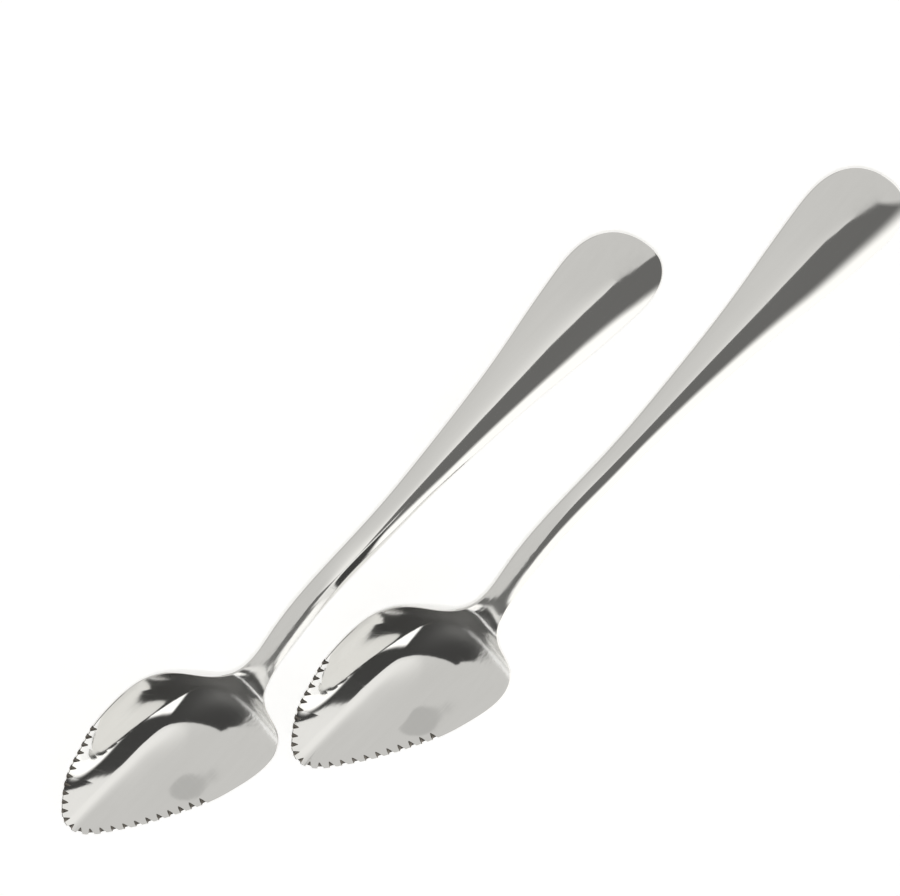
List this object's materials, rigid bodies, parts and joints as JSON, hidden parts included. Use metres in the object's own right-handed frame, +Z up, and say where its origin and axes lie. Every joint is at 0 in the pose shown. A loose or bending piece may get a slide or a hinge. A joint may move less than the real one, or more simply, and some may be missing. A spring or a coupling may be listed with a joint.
{
  "type": "grapefruit spoon",
  "caption": "Pair of one-piece steel grapefruit spoons with pointed bowls, serrated rims and rounded teardrop handles, lying face up side by side.",
  "frame": {"origin": "middle of the pair's outline, on the table that the spoons lie on", "axes": "+X from the bowls' tips to the handles' ends, +Y across from the right spoon to the left spoon, +Z up from the table"},
  "size_m": [0.2018, 0.0538, 0.0127],
  "materials": {
    "steel": "polished stainless steel"
  },
  "bodies": {
    "left": {"left_spoon": "steel"},
    "right": {"right_spoon": "steel"}
  },
  "joints": [
    {"name": "lift", "type": "slide", "parent": "left", "child": "right", "axis": [0, 0, 1], "range_m": [0, 0.06]}
  ]
}
